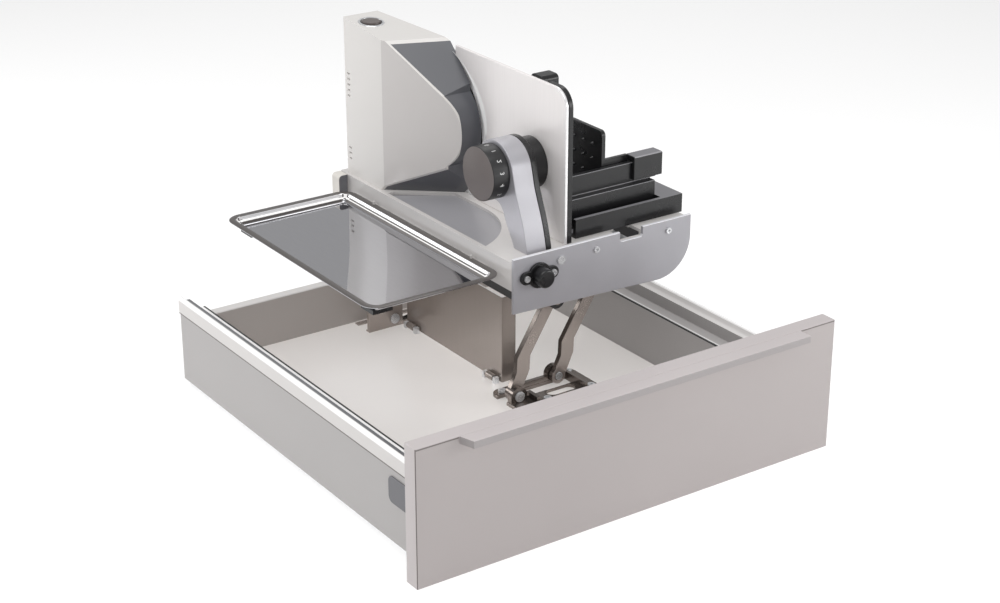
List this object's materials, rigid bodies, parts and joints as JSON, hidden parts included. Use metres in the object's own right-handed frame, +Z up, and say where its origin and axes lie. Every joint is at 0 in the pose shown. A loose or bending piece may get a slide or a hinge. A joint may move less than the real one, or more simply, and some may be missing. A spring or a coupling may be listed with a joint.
{
  "type": "built-in food slicer",
  "caption": "Folding food slicer with round blade, stop plate, sliding carriage and slice tray, on a swing-up lift inside a low kitchen drawer.",
  "frame": {"origin": "bottom centre of the whole drawer's bounding box, with the slicer raised", "axes": "+X to the right, +Y to the back of the drawer and +Z up; the drawer front faces -Y"},
  "size_m": [0.447, 0.4746, 0.3471],
  "materials": {
    "front_lacquer": "satin",
    "side_lacquer": "satin",
    "white_board": "smooth melamine face",
    "nickel_steel": "satin nickel plating",
    "black_steel": "satin powder coat",
    "zinc_steel": "zinc plated",
    "cover_aluminium": "satin anodised",
    "silver_aluminium": "satin",
    "light_casing": "satin",
    "grey_casing": "satin",
    "black_plastic": "matt",
    "knob_grey": "matt",
    "light_plastic": "matt",
    "blade_steel": "ground",
    "mirror_steel": "polished stainless",
    "gear_plastic": "matt",
    "copper_motor": "satin"
  },
  "bodies": {
    "runners": {"cabinet_rail_left": "zinc_steel", "cabinet_rail_right": "zinc_steel"},
    "middle_rails": {"middle_rails": "zinc_steel"},
    "drawer": {"front_panel": "front_lacquer", "handle_strip": "front_lacquer", "side_left": "side_lacquer", "side_right": "side_lacquer", "top_rails": "side_lacquer", "drawer_rails": "zinc_steel", "floor_panel": "white_board", "rear_panel": "side_lacquer", "side_caps": "knob_grey", "front_brackets": "zinc_steel", "floor_bracket_front": "nickel_steel", "floor_bracket_rear": "nickel_steel", "bracket_screws": "zinc_steel", "floor_pins": "zinc_steel", "fold_hinge": "zinc_steel"},
    "left_links": {"link_front_left": "nickel_steel", "link_rear_left": "nickel_steel", "lift_shaft": "nickel_steel"},
    "right_links": {"link_front_right": "nickel_steel", "link_rear_right": "nickel_steel"},
    "fold_panel": {"fold_panel": "nickel_steel"},
    "base": {"lift_frame": "black_steel", "base_housing": "light_casing", "front_cover": "cover_aluminium", "cover_screws": "zinc_steel", "chute_plate": "grey_casing", "guide_rod": "zinc_steel", "rear_end_cap": "light_plastic", "arm": "silver_aluminium", "arm_liner": "black_plastic", "tower_cover": "light_casing", "tower_gear_case": "grey_casing", "motor": "copper_motor", "blade_bearings": "zinc_steel", "switch_body": "black_plastic", "power_inlet": "black_plastic", "power_unit": "black_plastic", "lock_flange": "black_plastic"},
    "motor_rotor": {"motor_rotor": "zinc_steel"},
    "blade": {"drive_gear": "gear_plastic", "blade_shaft": "zinc_steel", "blade": "blade_steel", "blade_hub": "black_plastic"},
    "switch_button": {"switch_button": "black_plastic"},
    "thickness_knob": {"thickness_knob": "knob_grey"},
    "stop_plate": {"stop_plate": "silver_aluminium", "plate_backing": "black_plastic", "guide_drum": "black_plastic"},
    "carriage": {"carriage_tray": "black_plastic", "carriage_rails": "black_plastic"},
    "pusher": {"pusher_plate": "black_plastic", "pusher_grip": "black_plastic", "pusher_handle": "black_plastic"},
    "slice_tray": {"slice_tray": "mirror_steel", "tray_clips": "black_plastic"},
    "lock": {"lock_knob": "black_plastic", "lock_pin": "zinc_steel"}
  },
  "joints": [
    {"name": "drawer_slide", "type": "slide", "parent": "runners", "child": "drawer", "axis": [0, -1, 0], "range_m": [0, 0.4]},
    {"name": "middle_rail_slide", "type": "slide", "parent": "runners", "child": "middle_rails", "axis": [0, -1, 0], "range_m": [0, 0.2]},
    {"name": "lift_swing", "type": "hinge", "parent": "drawer", "child": "left_links", "pos_m": [0.0145, 0, 0.03], "axis": [0, -1, 0], "range_deg": [0, 106]},
    {"name": "right_link_swing", "type": "hinge", "parent": "drawer", "child": "right_links", "pos_m": [0.0715, 0, 0.03], "axis": [0, -1, 0], "range_deg": [0, 106]},
    {"name": "base_level", "type": "hinge", "parent": "left_links", "child": "base", "pos_m": [0.05746, 0, 0.11808], "axis": [0, -1, 0], "range_deg": [-106, 0]},
    {"name": "fold_panel_swing", "type": "hinge", "parent": "drawer", "child": "fold_panel", "pos_m": [0.024, 0, 0.025], "axis": [0, -1, 0], "range_deg": [0, 90]},
    {"name": "tray_lift", "type": "slide", "parent": "base", "child": "slice_tray", "axis": [0, 0, 1], "range_m": [0, 0.056]},
    {"name": "blade_spin", "type": "hinge", "parent": "base", "child": "blade", "pos_m": [0.04146, 0.14385, 0.24758], "axis": [1, 0, 0], "continuous": true},
    {"name": "motor_spin", "type": "hinge", "parent": "base", "child": "motor_rotor", "pos_m": [0.01246, 0.17886, 0.28384], "axis": [1, 0, 0], "continuous": true},
    {"name": "switch_press", "type": "slide", "parent": "base", "child": "switch_button", "axis": [0, 0, -1], "range_m": [0, 0.002], "stiffness_N_per_m": 400, "springref_m": -0.002},
    {"name": "knob_turn", "type": "hinge", "parent": "base", "child": "thickness_knob", "pos_m": [-0.02354, -0.01615, 0.25538], "axis": [1, 0, 0], "range_deg": [0, 270]},
    {"name": "plate_slide", "type": "slide", "parent": "base", "child": "stop_plate", "axis": [-1, 0, 0], "range_m": [0, 0.014]},
    {"name": "carriage_slide", "type": "slide", "parent": "base", "child": "carriage", "axis": [0, 1, 0], "range_m": [0, 0.105]},
    {"name": "pusher_slide", "type": "slide", "parent": "carriage", "child": "pusher", "axis": [1, 0, 0], "range_m": [-0.042, 0.012]},
    {"name": "lock_pull", "type": "slide", "parent": "base", "child": "lock", "axis": [0, -1, 0], "range_m": [0, 0.006], "stiffness_N_per_m": 300, "springref_m": -0.004}
  ],
  "couplings": [
    {"joint": "middle_rail_slide", "follows": "drawer_slide", "ratio": 0.5},
    {"joint": "right_link_swing", "follows": "lift_swing", "ratio": 1},
    {"joint": "base_level", "follows": "lift_swing", "ratio": -1},
    {"joint": "fold_panel_swing", "follows": "lift_swing", "ratio": 0.849},
    {"joint": "tray_lift", "follows": "lift_swing", "m_per_rad": 0.03},
    {"joint": "motor_spin", "follows": "blade_spin", "ratio": -6},
    {"joint": "knob_turn", "follows": "plate_slide", "rad_per_m": 336}
  ]
}
